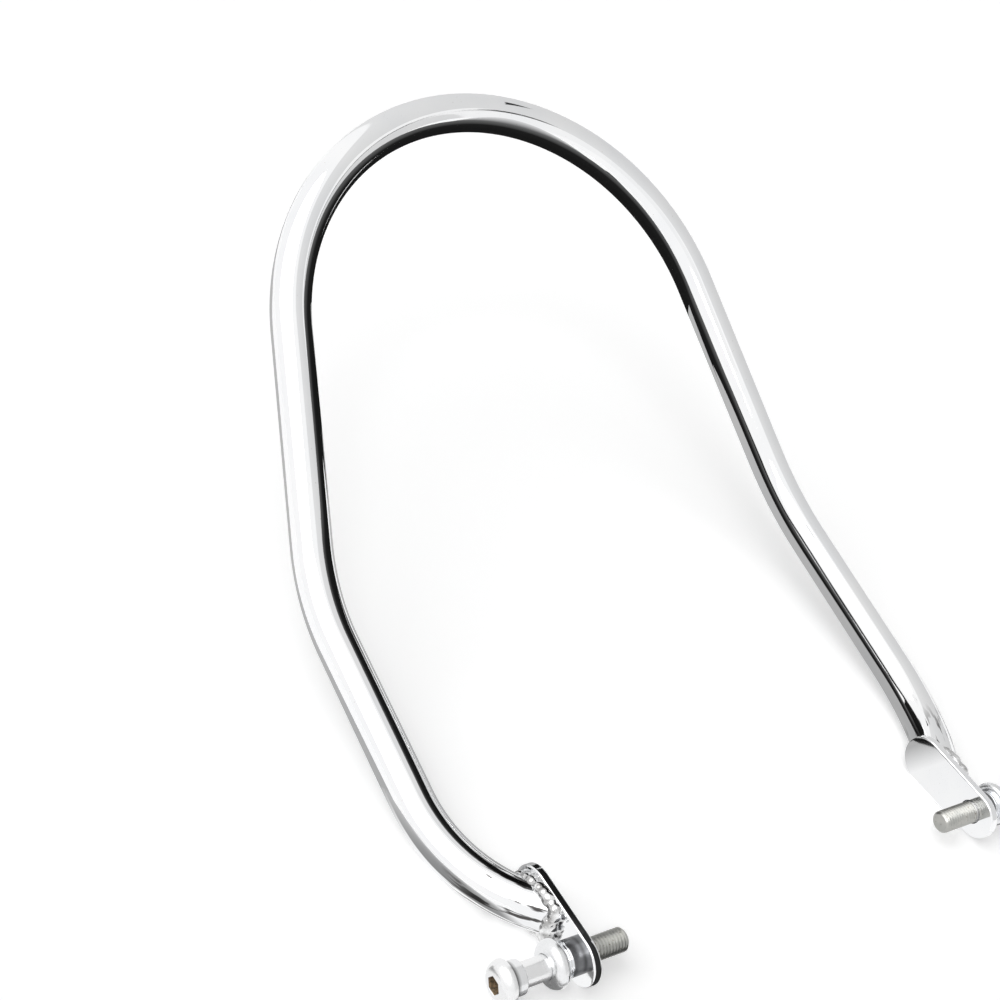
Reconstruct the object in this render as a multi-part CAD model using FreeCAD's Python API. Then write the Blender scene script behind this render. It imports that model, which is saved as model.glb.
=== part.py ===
import FreeCAD, Part
import math
import os

# Motorcycle passenger grab bar: one steel tube, bent into a loop to hold on to, with each front end
# welded to a flat tab, and the bolt, collars and washers that hold each tab.
# Frame: the origin is midway between the two tab holes, on the line through both bolts. +X points to
# the machine's right, +Y forward and +Z up. Lengths are in millimetres and angles in degrees.

# Tube
TUBE_D = 22.2           # outside diameter
TUBE_WALL = 2.0

# Bend table of the right half, from the tab to the middle of the arch
FACE_SPACING = 264.0    # between the outer faces of the two tabs
ARM_OFFSET = 28.0       # arm centre line, outboard of the tab face
END_TOE_DEG = 38.0      # how far the tube's end turns outward from straight back
END_DROP_DEG = 10.0     # how far it falls away behind the tab
END_BEND_R = 102.0
ARM_SLOPE_DEG = 15.0    # rise of the straight arm
ARM_RUN = 91.0          # straight length of the arm
KICK_BEND_R = 122.0     # bend that lifts the arm into the limb
LIMB_SLOPE_DEG = 40.0   # rise of the straight limb below the arch
LIMB_TOE_IN_DEG = 12.0  # how far the limb leans in towards the middle
LIMB_RUN = 114.0        # straight length of the limb

# Tab
TAB_T = 4.5
NOSE_WALL = 6.5         # from the bolt hole to the tab's edge, above and below
NOSE_AHEAD = 2.2        # centre of the round nose, ahead of the bolt hole
TAB_EDGE_R = 0.9        # polished edge
TAIL_MARGIN = 1.0       # tab left showing behind the weld

# Weld bead, drops of weld that overlap in a row round the tube's foot and over its cut end
BEAD_R = 3.6
BEAD_OVERLAP = 2.8      # of one drop with the next
BEAD_LIFT = 1.4         # least height of a drop's centre above the tab face
BEAD_TO_WASHER = 2.8    # clear tab face between the bead and the washers
TIP_CUT = 7.2           # thin tip of the tube's foot that is cut away in front of the weld

# Bolt with a domed head and a hexagon socket
BOLT_D = 12.0
THREAD_RELIEF = 1.1     # thread's mean diameter below the shank's; it starts at the tab's inner face
BOLT_CLEARANCE = 0.2    # round the bolt, in the collars and washers
HOLE_CLEARANCE = 0.5    # round the bolt, in the tab
HEAD_OVERHANG = 4.5     # head beyond the shank, all round
HEAD_H = 6.6
HEAD_RIM = 0.9          # straight rim under the dome
SOCKET_ACROSS_FLATS = 8.0
SOCKET_DEPTH = 4.2
BOLT_FREE_END = 23.0    # threaded length that stands out behind the tab
BOLT_CHAMFER = 1.2

# Pieces on the bolt, from the tab outward
SPACER_WALL = 2.5
SPACER_L = 9.5
GROOVES = 2             # fine grooves round the spacer, next to the dome washer
GROOVE_W = 0.7
GROOVE_DEPTH = 0.6
GROOVE_PITCH = 1.4
DOME_WALL = 5.4
DOME_L = 7.0
DOME_BACK_ROUND = 2.0   # rounding of the dome washer's rim, towards the tab
DOME_BAND = 0.8         # straight band of its rim, before the larger rounding in front
DOME_LIP = 0.8          # least flat ring left round the bolt
BARE_SHANK = 14.0       # bolt left bare between the dome washer and the head collar
COLLAR_WALL = 2.1
COLLAR_L = 7.0
COLLAR_EDGE_R = 0.8

# Values that follow from those above
TUBE_R = TUBE_D / 2
FACE_X = FACE_SPACING / 2
BOLT_R = BOLT_D / 2
BORE_R = BOLT_R + BOLT_CLEARANCE
HOLE_R = BOLT_R + HOLE_CLEARANCE
NOSE_R = HOLE_R + NOSE_WALL
SPACER_R = BORE_R + SPACER_WALL
DOME_R = BORE_R + DOME_WALL
COLLAR_R = BORE_R + COLLAR_WALL
STACK_L = SPACER_L + DOME_L + BARE_SHANK + COLLAR_L
BEAD_PITCH = 2 * BEAD_R - BEAD_OVERLAP

Vector = FreeCAD.Vector
ORIGIN = Vector(0, 0, 0)
OUTWARD = Vector(1, 0, 0)
INWARD = Vector(-1, 0, 0)
SIDES = ("right", "left")
TOUCH = 1e-6            # closer than this, two lengths are the same


def heading(rise, spread):
    """Unit vector that runs rearward, rising and spreading outward by the given angles."""
    vector = Vector(math.tan(math.radians(spread)), -1, math.tan(math.radians(rise)))
    return vector.normalize()


END_DIR = heading(-END_DROP_DEG, END_TOE_DEG)
ARM_DIR = heading(ARM_SLOPE_DEG, 0)
LIMB_DIR = heading(LIMB_SLOPE_DEG, -LIMB_TOE_IN_DEG)
FOOT_HALF_LENGTH = TUBE_R / END_DIR.x
FOOT_REACH = 2 * FOOT_HALF_LENGTH       # more than the tube's foot spans on the tab face, either way
WELD_FRONT = DOME_R + BEAD_TO_WASHER + BEAD_R
WELD_BACK = WELD_FRONT + FOOT_HALF_LENGTH - TIP_CUT
FOOT_CENTRE = Vector(FACE_X, -WELD_BACK, 0)
TAIL_R = TUBE_R + BEAD_R
TAIL_BACK = WELD_BACK + FOOT_HALF_LENGTH + BEAD_R + TAIL_MARGIN - TAIL_R


def bend_end(start, along, onward, radius):
    """Centre, axis and end point of a bend that turns from one direction to another."""
    axis = along.cross(onward).normalize()
    centre = start + axis.cross(along) * radius
    end = centre - axis.cross(onward) * radius
    return centre, axis, end


def bend_table():
    """Start point of the right half, and its (direction, straight run, bend radius) rows."""
    tangent = END_BEND_R * math.tan(END_DIR.getAngle(ARM_DIR) / 2)
    end_run = ARM_OFFSET / END_DIR.x - tangent
    start = FOOT_CENTRE - END_DIR * FOOT_REACH
    rows = [(END_DIR, FOOT_REACH + end_run, END_BEND_R), (ARM_DIR, ARM_RUN, KICK_BEND_R)]
    point = start
    for (along, run, radius), onward in zip(rows, (ARM_DIR, LIMB_DIR)):
        point = bend_end(point + along * run, along, onward, radius)[2]
    arch_start = point + LIMB_DIR * LIMB_RUN
    arch_radius = arch_start.x / math.sin(LIMB_DIR.getAngle(INWARD))
    rows.append((LIMB_DIR, LIMB_RUN, arch_radius))
    return start, rows


def half_rod(radius):
    """Solid round rod along the right half of the bar, and the length of its centre line."""
    point, rows = bend_table()
    directions = [row[0] for row in rows] + [INWARD]
    pieces = []
    length = 0
    for (along, run, bend_radius), onward in zip(rows, directions[1:]):
        disc = Part.Face(Part.Wire(Part.makeCircle(radius, point, along)))
        pieces.append(disc.extrude(along * run))
        point = point + along * run
        centre, axis, end = bend_end(point, along, onward, bend_radius)
        turn = along.getAngle(onward)
        disc = Part.Face(Part.Wire(Part.makeCircle(radius, point, along)))
        pieces.append(disc.revolve(centre, axis, math.degrees(turn)))
        point = end
        length += run + bend_radius * turn
    return pieces[0].multiFuse(pieces[1:]).removeSplitter(), length


def cut_at_tab(rod):
    """The rod cut off by the tab's outer face and by a plane square to the tab, behind the washers."""
    span = 2 * FOOT_REACH
    corner = Vector(FACE_X - 2 * span, -WELD_BACK - span / 2, -span)
    behind_face = Part.makeBox(2 * span, 2 * span, 2 * span, corner)
    corner = Vector(FACE_X - span, -WELD_FRONT, -span)
    before_weld = Part.makeBox(2 * span, 2 * span, 2 * span, corner)
    return rod.cut(behind_face).cut(before_weld)


def mirrored(shape):
    """The same piece on the left side."""
    return shape.mirror(ORIGIN, OUTWARD)


def make_tube(rod):
    """The bent tube: both cut halves of the rod, hollowed and joined in the middle of the arch."""
    bore = half_rod(TUBE_R - TUBE_WALL)[0]
    half = rod.cut(bore)
    return half.fuse(mirrored(half)).removeSplitter()


def make_tab():
    """Flat tab: a round nose with a bolt hole, and a wider round tail under the tube's foot."""
    nose = Vector(FACE_X - TAB_T, NOSE_AHEAD, 0)
    tail = Vector(FACE_X - TAB_T, -TAIL_BACK, 0)
    lean = math.asin((TAIL_R - NOSE_R) / (NOSE_AHEAD + TAIL_BACK))
    side = Vector(0, math.sin(lean), math.cos(lean))
    other_side = Vector(0, side.y, -side.z)
    ahead = Vector(0, 1, 0)
    outline = [
        Part.Arc(nose + side * NOSE_R, nose + ahead * NOSE_R, nose + other_side * NOSE_R),
        Part.LineSegment(nose + other_side * NOSE_R, tail + other_side * TAIL_R),
        Part.Arc(tail + other_side * TAIL_R, tail - ahead * TAIL_R, tail + side * TAIL_R),
        Part.LineSegment(tail + side * TAIL_R, nose + side * NOSE_R),
    ]
    plate = Part.Face(Part.Wire([curve.toShape() for curve in outline])).extrude(OUTWARD * TAB_T)
    flat_ends = [face for face in plate.Faces if abs(abs(face.normalAt(0, 0).x) - 1) < TOUCH]
    rims = [edge for face in flat_ends for edge in face.Edges]
    plate = plate.makeFillet(TAB_EDGE_R, rims)
    return plate.cut(Part.makeCylinder(HOLE_R, TAB_T, Vector(FACE_X - TAB_T, 0, 0), OUTWARD))


def weld_drop(point):
    """One drop of weld over the given point, cut off flat by the tab's outer face."""
    height = max(point.x - FACE_X, BEAD_LIFT)
    centre = Vector(FACE_X + height, point.y, point.z)
    low = -math.degrees(math.asin(min(height / BEAD_R, 1)))
    return Part.makeSphere(BEAD_R, centre, OUTWARD, low, 90, 360)


def spaced_points(wire):
    """Points round a closed outline, about one bead pitch apart."""
    count = math.ceil(wire.Length / BEAD_PITCH)
    return wire.discretize(Number=count + 1)[:count]


def make_bead(rod):
    """Weld drops round the tube's foot on the tab, and over the rim of the tube's cut end."""
    foot = next(face for face in rod.Faces if abs(face.CenterOfMass.x - FACE_X) < TOUCH)
    cut_end = next(face for face in rod.Faces if abs(face.CenterOfMass.y + WELD_FRONT) < TOUCH)
    rim = [point for point in spaced_points(cut_end.OuterWire) if point.x - FACE_X > BEAD_LIFT]
    drops = [weld_drop(point) for point in spaced_points(foot.OuterWire) + rim]
    return drops[0].multiFuse(drops[1:]).cut(rod)


def ring(start_x, length, radius):
    """Plain ring round the bolt."""
    start = Vector(start_x, 0, 0)
    bore = Part.makeCylinder(BORE_R, length, start, OUTWARD)
    return Part.makeCylinder(radius, length, start, OUTWARD).cut(bore)


def outer_rims(shape, radius):
    """Circular edges of the given radius, from the tab outward."""
    circles = [edge for edge in shape.Edges if isinstance(edge.Curve, Part.Circle)]
    rims = [edge for edge in circles if abs(edge.Curve.Radius - radius) < TOUCH]
    return sorted(rims, key=lambda edge: edge.Curve.Center.x)


def make_spacer(start_x):
    """Round spacer with fine grooves turned into its outer end."""
    spacer = ring(start_x, SPACER_L, SPACER_R)
    for number in range(GROOVES):
        middle = start_x + SPACER_L - GROOVE_PITCH * (number + 1)
        start = Vector(middle - GROOVE_W / 2, 0, 0)
        outside = Part.makeCylinder(2 * SPACER_R, GROOVE_W, start, OUTWARD)
        core = Part.makeCylinder(SPACER_R - GROOVE_DEPTH, GROOVE_W, start, OUTWARD)
        spacer = spacer.cut(outside.cut(core))
    return spacer


def make_dome_washer(start_x):
    """Thick washer with a well-rounded rim."""
    washer = ring(start_x, DOME_L, DOME_R)
    back, front = outer_rims(washer, DOME_R)
    front_round = min(DOME_L - DOME_BACK_ROUND - DOME_BAND, DOME_WALL - DOME_LIP)
    washer = washer.makeFillet(front_round, [front])
    back = outer_rims(washer, DOME_R)[0]
    return washer.makeFillet(DOME_BACK_ROUND, [back])


def make_collar(start_x):
    """Plain collar under the bolt's head."""
    collar = ring(start_x, COLLAR_L, COLLAR_R)
    return collar.makeFillet(COLLAR_EDGE_R, outer_rims(collar, COLLAR_R))


def make_bolt(head_x):
    """Bolt whose head rests at head_x and whose threaded end stands out behind the tab."""
    head_r = BOLT_R + HEAD_OVERHANG
    dome_r = HEAD_H - HEAD_RIM
    flat_r = head_r - dome_r
    rim_x = head_x + HEAD_RIM
    top_x = head_x + HEAD_H
    thread_x = FACE_X - TAB_T
    tip_x = thread_x - BOLT_FREE_END
    thread_r = BOLT_R - THREAD_RELIEF / 2
    slant = dome_r * math.sqrt(0.5)
    corners = [
        Vector(top_x, flat_r, 0),
        Vector(top_x, 0, 0),
        Vector(tip_x, 0, 0),
        Vector(tip_x, thread_r - BOLT_CHAMFER, 0),
        Vector(tip_x + BOLT_CHAMFER, thread_r, 0),
        Vector(thread_x, thread_r, 0),
        Vector(thread_x, BOLT_R, 0),
        Vector(head_x, BOLT_R, 0),
        Vector(head_x, head_r, 0),
        Vector(rim_x, head_r, 0),
    ]
    edges = [Part.makeLine(one, two) for one, two in zip(corners, corners[1:])]
    dome = Part.Arc(corners[-1], Vector(rim_x + slant, flat_r + slant, 0), corners[0])
    edges.append(dome.toShape())
    bolt = Part.Face(Part.Wire(edges)).revolve(ORIGIN, OUTWARD, 360)
    corner_r = SOCKET_ACROSS_FLATS / 2 / math.cos(math.radians(30))
    angles = [math.radians(60 * number) for number in range(6)]
    floor_x = top_x - SOCKET_DEPTH
    hexagon = [Vector(floor_x, corner_r * math.cos(a), corner_r * math.sin(a)) for a in angles]
    socket = Part.Face(Part.makePolygon(hexagon + hexagon[:1])).extrude(OUTWARD * SOCKET_DEPTH)
    return bolt.cut(socket)


def make_right_side(rod):
    """The pieces of the right mount, by name."""
    dome_x = FACE_X + SPACER_L
    collar_x = dome_x + DOME_L + BARE_SHANK
    return {
        "mounting_tab": make_tab(),
        "weld_bead": make_bead(rod),
        "ridged_spacer": make_spacer(FACE_X),
        "dome_washer": make_dome_washer(dome_x),
        "head_collar": make_collar(collar_x),
        "mount_bolt": make_bolt(FACE_X + STACK_L),
    }


def main():
    os.makedirs("parts", exist_ok=True)
    whole_rod, length = half_rod(TUBE_R)
    rod = cut_at_tab(whole_rod)
    right_side = make_right_side(rod)
    shapes = {"grab_tube": make_tube(rod)}
    for name, piece in right_side.items():
        for side, shape in zip(SIDES, (piece, mirrored(piece))):
            shapes[side + "_" + name] = shape
    section = math.pi * TUBE_R ** 2
    print("rod volume over section times length:", round(whole_rod.Volume / (section * length), 6))
    for name, shape in shapes.items():
        shape.exportStep("parts/" + name + ".step")
        box = shape.BoundBox
        print(name, "solids", len(shape.Solids), "valid", shape.isValid(), "volume", round(shape.Volume, 1),
              "low", [round(v, 1) for v in (box.XMin, box.YMin, box.ZMin)],
              "high", [round(v, 1) for v in (box.XMax, box.YMax, box.ZMax)])


main()
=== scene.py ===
# %% [markdown]
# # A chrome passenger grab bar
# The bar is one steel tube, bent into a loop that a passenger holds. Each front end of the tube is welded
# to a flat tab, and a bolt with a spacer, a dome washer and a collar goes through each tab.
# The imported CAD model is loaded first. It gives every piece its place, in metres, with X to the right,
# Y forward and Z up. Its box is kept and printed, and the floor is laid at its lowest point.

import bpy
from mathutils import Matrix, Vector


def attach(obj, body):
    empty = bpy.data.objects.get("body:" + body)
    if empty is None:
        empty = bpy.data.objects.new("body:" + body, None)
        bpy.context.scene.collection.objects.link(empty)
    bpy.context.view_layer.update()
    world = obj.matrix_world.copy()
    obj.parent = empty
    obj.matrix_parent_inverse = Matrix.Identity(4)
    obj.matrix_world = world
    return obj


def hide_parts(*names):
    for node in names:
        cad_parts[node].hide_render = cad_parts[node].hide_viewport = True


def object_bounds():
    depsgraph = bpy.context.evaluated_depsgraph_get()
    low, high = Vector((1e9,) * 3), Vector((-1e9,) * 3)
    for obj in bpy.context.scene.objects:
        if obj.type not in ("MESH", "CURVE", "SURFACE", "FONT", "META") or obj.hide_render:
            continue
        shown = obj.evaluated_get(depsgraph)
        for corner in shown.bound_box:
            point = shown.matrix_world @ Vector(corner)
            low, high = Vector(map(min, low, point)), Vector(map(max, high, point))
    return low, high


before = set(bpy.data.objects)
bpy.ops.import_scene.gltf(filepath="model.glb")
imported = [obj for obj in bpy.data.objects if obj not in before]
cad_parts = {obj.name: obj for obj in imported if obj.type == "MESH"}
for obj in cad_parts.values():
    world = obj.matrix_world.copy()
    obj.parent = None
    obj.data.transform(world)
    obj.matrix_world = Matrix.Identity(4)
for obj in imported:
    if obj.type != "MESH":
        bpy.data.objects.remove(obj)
cad_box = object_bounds()
print("CAD nodes:", ", ".join(sorted(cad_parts)))
print("CAD box:", [[round(value, 4) for value in corner] for corner in cad_box])

# %% [markdown]
# ## Camera
# The bar is seen from its front right, from above, with the picture tilted a little. The angles, the
# distance and the focal length were found once by lining up the bends of the tube with the picture. A
# camera in Blender looks along its own -Z, so its matrix is built from three directions: right, up and back.

# %% Camera
import math

import bmesh
import bpy
from mathutils import Matrix, Vector

MM = 0.001
AZIMUTH = math.radians(139.37)
ELEVATION = math.radians(35.365)
ROLL = math.radians(15.707)
CAMERA_DISTANCE = 1059.317 * MM
SENSOR_WIDTH = 36
FOCAL_LENGTH = 63
NEAREST = 10 * MM


def mm(x, y, z):
    """Point from coordinates in millimetres."""
    return Vector((x, y, z)) * MM


def add_object(name, data):
    """New object in the scene."""
    made = bpy.data.objects.new(name, data)
    bpy.context.scene.collection.objects.link(made)
    return made


AIM = mm(-14.246, -306.209, 0)
back = Vector((
    math.cos(ELEVATION) * math.sin(AZIMUTH),
    -math.cos(ELEVATION) * math.cos(AZIMUTH),
    math.sin(ELEVATION),
))
level = Vector((math.cos(AZIMUTH), math.sin(AZIMUTH), 0))
upright = back.cross(level)
right = level * math.cos(ROLL) + upright * math.sin(ROLL)
up = upright * math.cos(ROLL) - level * math.sin(ROLL)

camera = add_object("camera", bpy.data.cameras.new("camera"))
camera.data.sensor_width = SENSOR_WIDTH
camera.data.lens = FOCAL_LENGTH
camera.data.clip_start = NEAREST
camera_turn = Matrix((right, up, back)).transposed().to_4x4()
camera.matrix_world = Matrix.Translation(AIM + back * CAMERA_DISTANCE) @ camera_turn
bpy.context.scene.camera = camera
bpy.context.scene.view_settings.view_transform = "Standard"
print("camera at", [round(value, 3) for value in camera.matrix_world.translation])

# %% [markdown]
# ## Effects that the finishes share
# Chrome is a mirror, so what makes it look real is what spoils the mirror: a little haze, hair-fine
# polishing lines and a few specks. These are built once as shader node groups with named inputs, and each
# material places them with its own values. A group gives out only values and colours, and the Principled
# shader stays in the material.

# %% Helpers for shader groups
def new_shader_group(name, inputs, outputs):
    """Empty shader group with named sockets; returns the tree, its input node and its output node."""
    group = bpy.data.node_groups.new(name, "ShaderNodeTree")
    for label, kind, default in inputs:
        socket = group.interface.new_socket(label, in_out="INPUT", socket_type="NodeSocket" + kind)
        if default is not None:
            socket.default_value = default
    for label, kind in outputs:
        group.interface.new_socket(label, in_out="OUTPUT", socket_type="NodeSocket" + kind)
    return group, group.nodes.new("NodeGroupInput"), group.nodes.new("NodeGroupOutput")


def feed(tree, socket, value):
    """Sets an input to a constant or links another socket to it; None leaves it as it is."""
    if isinstance(value, bpy.types.NodeSocket):
        tree.links.new(value, socket)
    elif value is not None:
        socket.default_value = value


def math_node(tree, operation, first, second=None, clamp=False):
    """Math node whose inputs are numbers or sockets; returns its output."""
    node = tree.nodes.new("ShaderNodeMath")
    node.operation = operation
    node.use_clamp = clamp
    feed(tree, node.inputs[0], first)
    feed(tree, node.inputs[1], second)
    return node.outputs[0]


def noise_node(tree, vector, scale, detail=2.0, roughness=0.5):
    """Noise whose scale is a number or a socket; returns its value output."""
    node = tree.nodes.new("ShaderNodeTexNoise")
    for label, value in (("Vector", vector), ("Scale", scale), ("Detail", detail), ("Roughness", roughness)):
        feed(tree, node.inputs[label], value)
    return node.outputs["Fac"]


def range_node(tree, value, low, high, to_low, to_high):
    """Map Range whose four limits are numbers or sockets; returns its output."""
    node = tree.nodes.new("ShaderNodeMapRange")
    tree.links.new(value, node.inputs["Value"])
    for label, limit in zip(("From Min", "From Max", "To Min", "To Max"), (low, high, to_low, to_high)):
        feed(tree, node.inputs[label], limit)
    return node.outputs["Result"]


# %% Polish: haze in the mirror and hair-fine lines
polish, given, result = new_shader_group(
    "polish",
    [("Vector", "Vector", None), ("Line Vector", "Vector", None), ("Haze Scale", "Float", 40.0),
     ("Line Scale", "Float", 2500.0), ("Clear", "Float", 0.04), ("Hazy", "Float", 0.12)],
    [("Roughness", "Float"), ("Lines", "Float")],
)
cloud = noise_node(polish, given.outputs["Vector"], given.outputs["Haze Scale"], 4.0, 0.6)
lines = noise_node(polish, given.outputs["Line Vector"], given.outputs["Line Scale"], 3.0, 0.7)
patches = range_node(polish, cloud, 0.45, 0.75, 0.0, 0.8)
hairs = range_node(polish, lines, 0.5, 0.8, 0.0, 0.35)
spoilt = math_node(polish, "ADD", patches, hairs, clamp=True)
shine = range_node(polish, spoilt, 0.0, 1.0, given.outputs["Clear"], given.outputs["Hazy"])
polish.links.new(shine, result.inputs["Roughness"])
polish.links.new(lines, result.inputs["Lines"])
print("group", polish.name)


# %% Specks: pits and dust as small round spots
def mix_node(tree, share, first, second):
    """Mixes two colours, each a constant or a socket, by a share; returns the colour output."""
    node = tree.nodes.new("ShaderNodeMix")
    node.data_type = "RGBA"
    for label, value in (("Factor", share), ("A", first), ("B", second)):
        feed(tree, node.inputs[label], value)
    return node.outputs["Result"]


specks, given, result = new_shader_group(
    "specks",
    [("Vector", "Vector", None), ("Scale", "Float", 400.0), ("Share", "Float", 0.2),
     ("Clean", "Color", (0.8, 0.8, 0.8, 1)), ("Speck", "Color", (0.2, 0.18, 0.16, 1))],
    [("Color", "Color")],
)
cells = specks.nodes.new("ShaderNodeTexVoronoi")
specks.links.new(given.outputs["Vector"], cells.inputs["Vector"])
specks.links.new(given.outputs["Scale"], cells.inputs["Scale"])
chosen = specks.nodes.new("ShaderNodeSeparateColor")
specks.links.new(cells.outputs["Color"], chosen.inputs["Color"])
kept = math_node(specks, "LESS_THAN", chosen.outputs["Red"], given.outputs["Share"])
size = range_node(specks, chosen.outputs["Green"], 0.0, 1.0, 0.08, 0.28)
spot = math_node(specks, "LESS_THAN", cells.outputs["Distance"], size)
mask = math_node(specks, "MULTIPLY", kept, spot)
colour = mix_node(specks, mask, given.outputs["Clean"], given.outputs["Speck"])
specks.links.new(colour, result.inputs["Color"])
print("group", specks.name)

# %% Tint: two tones of the metal that drift into each other
tint, given, result = new_shader_group(
    "tint",
    [("Vector", "Vector", None), ("Scale", "Float", 18.0),
     ("First", "Color", (0.8, 0.8, 0.8, 1)), ("Second", "Color", (0.7, 0.72, 0.75, 1))],
    [("Color", "Color")],
)
drift = noise_node(tint, given.outputs["Vector"], given.outputs["Scale"], 5.0, 0.6)
share = range_node(tint, drift, 0.35, 0.7, 0.0, 1.0)
colour = mix_node(tint, share, given.outputs["First"], given.outputs["Second"])
tint.links.new(colour, result.inputs["Color"])
print("group", tint.name)


# %% Turning: fine rings that a lathe leaves round the bolt's axis
def coordinate(tree, vector, axis):
    """One coordinate of a vector."""
    node = tree.nodes.new("ShaderNodeSeparateXYZ")
    tree.links.new(vector, node.inputs["Vector"])
    return node.outputs[axis]


turning, given, result = new_shader_group(
    "turning",
    [("Vector", "Vector", None), ("Scale", "Float", 3000.0)],
    [("Rings", "Float")],
)
flat = turning.nodes.new("ShaderNodeVectorMath")
flat.operation = "MULTIPLY"
flat.inputs[1].default_value = (0, 1, 1)
turning.links.new(given.outputs["Vector"], flat.inputs[0])
reach = turning.nodes.new("ShaderNodeVectorMath")
reach.operation = "LENGTH"
turning.links.new(flat.outputs["Vector"], reach.inputs[0])
place = turning.nodes.new("ShaderNodeCombineXYZ")
turning.links.new(coordinate(turning, given.outputs["Vector"], "X"), place.inputs["X"])
turning.links.new(reach.outputs["Value"], place.inputs["Y"])
rings = noise_node(turning, place.outputs["Vector"], given.outputs["Scale"], 2.0, 0.6)
turning.links.new(rings, result.inputs["Rings"])
print("group", turning.name)

# %% [markdown]
# ## Finishes
# All the bright pieces are chrome plate over steel: a metal with a clear, cool mirror. The tube's polishing
# lines run along it, so its mesh carries a straightened-out position that the lines can follow round the
# bends. Values that are the same all over a surface are set on the Principled shader itself.

# %% Helpers for materials
def new_material(name, metallic=1.0):
    """New material; returns it with its tree, its Principled shader and Object coordinates."""
    material = bpy.data.materials.new(name)
    material.use_nodes = True
    tree = material.node_tree
    shader = tree.nodes["Principled BSDF"]
    shader.inputs["Metallic"].default_value = metallic
    where = tree.nodes.new("ShaderNodeTexCoord").outputs["Object"]
    return material, tree, shader, where


def place_group(tree, group, vector, **values):
    """Puts a shared group into a material; an underscore in a value's name stands for a space."""
    node = tree.nodes.new("ShaderNodeGroup")
    node.node_tree = group
    tree.links.new(vector, node.inputs["Vector"])
    for label, value in values.items():
        feed(tree, node.inputs[label.replace("_", " ")], value)
    return node


def stretched(tree, vector, scale):
    """The same coordinates, scaled along each axis."""
    node = tree.nodes.new("ShaderNodeMapping")
    node.inputs["Scale"].default_value = scale
    tree.links.new(vector, node.inputs["Vector"])
    return node.outputs["Vector"]


def stored_vector(tree, name):
    """Vector that the mesh carries at each point under a name."""
    node = tree.nodes.new("ShaderNodeAttribute")
    node.attribute_name = name
    return node.outputs["Vector"]


def add_bump(tree, shader, height, distance, strength):
    """Bump from a height value into the shader's normal."""
    bump = tree.nodes.new("ShaderNodeBump")
    bump.inputs["Distance"].default_value = distance
    bump.inputs["Strength"].default_value = strength
    tree.links.new(height, bump.inputs["Height"])
    tree.links.new(bump.outputs["Normal"], shader.inputs["Normal"])


# %% Chrome of the tube, the tabs and the fixings
CHROME = (0.95, 0.952, 0.955, 1)
CHROME_COOL = (0.895, 0.905, 0.92, 1)
FIXING_CHROME = (0.87, 0.872, 0.876, 1)
FIXING_COOL = (0.80, 0.81, 0.825, 1)
DUST = (0.80, 0.79, 0.77, 1)
LINE_DEPTH = 0.02 * MM


def plated(name, clear, hazy, line_stretch, line_strength, lines_follow=None, tones=(CHROME, CHROME_COOL)):
    """Chrome plate: cool mirror, drifting tone, haze, polishing lines and a few faint dust specks."""
    material, tree, shader, where = new_material(name)
    tone = place_group(tree, tint, where, Scale=22.0, First=tones[0], Second=tones[1])
    spots = place_group(tree, specks, where, Scale=900.0, Share=0.04, Clean=tone.outputs["Color"], Speck=DUST)
    tree.links.new(spots.outputs["Color"], shader.inputs["Base Color"])
    line_where = stored_vector(tree, lines_follow) if lines_follow else where
    line_where = stretched(tree, line_where, line_stretch)
    mirror = place_group(tree, polish, where, Line_Vector=line_where, Clear=clear, Hazy=hazy)
    tree.links.new(mirror.outputs["Roughness"], shader.inputs["Roughness"])
    add_bump(tree, shader, mirror.outputs["Lines"], LINE_DEPTH, line_strength)
    return material


chrome_tube = plated("chrome_tube", clear=0.035, hazy=0.10, line_stretch=(1, 1, 0.03), line_strength=0.05,
                     lines_follow="straightened")
chrome_plate = plated("chrome_plate", clear=0.05, hazy=0.14, line_stretch=(1, 0.05, 1), line_strength=0.08)
chrome_fixings = plated("chrome_fixings", clear=0.24, hazy=0.36, line_stretch=(1, 1, 1), line_strength=0.03,
                        tones=(FIXING_CHROME, FIXING_COOL))
print("plated finishes:", chrome_tube.name, chrome_plate.name, chrome_fixings.name)

# %% [markdown]
# Shade is painted into the corner between each collar and the bolt's head, and dark reflections are painted
# as streaks on the tube beside the welds. Both could be painted on an image. Here they are mixed over the
# finished chrome by where a point lies, so they stay sharp however close the camera comes.

# %% Painted shade in the corner between each collar and the bolt's head
PAINTED_SHADE = (0.018, 0.017, 0.016, 1)
COLLAR_CORNER_X = (166.2 * MM, 168.2 * MM)


def reopened(material):
    """A material's tree, shader, colour so far and Object coordinates, so that more is laid over it."""
    tree = material.node_tree
    shader = tree.nodes["Principled BSDF"]
    colour = shader.inputs["Base Color"].links[0].from_socket
    return tree, shader, colour, tree.nodes.new("ShaderNodeTexCoord").outputs["Object"]


def outboard(tree, where):
    """Distance from the bar's middle plane, alike on both sides."""
    return math_node(tree, "ABSOLUTE", coordinate(tree, where, "X"))


tree, shader, clean, where = reopened(chrome_fixings)
# Painted shade: the collar's end darkens towards the corner at the bolt's head.
painted_shade_share = range_node(tree, outboard(tree, where), *COLLAR_CORNER_X, 0.0, 0.85)
tree.links.new(mix_node(tree, painted_shade_share, clean, PAINTED_SHADE), shader.inputs["Base Color"])
print("grime on", chrome_fixings.name)
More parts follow.
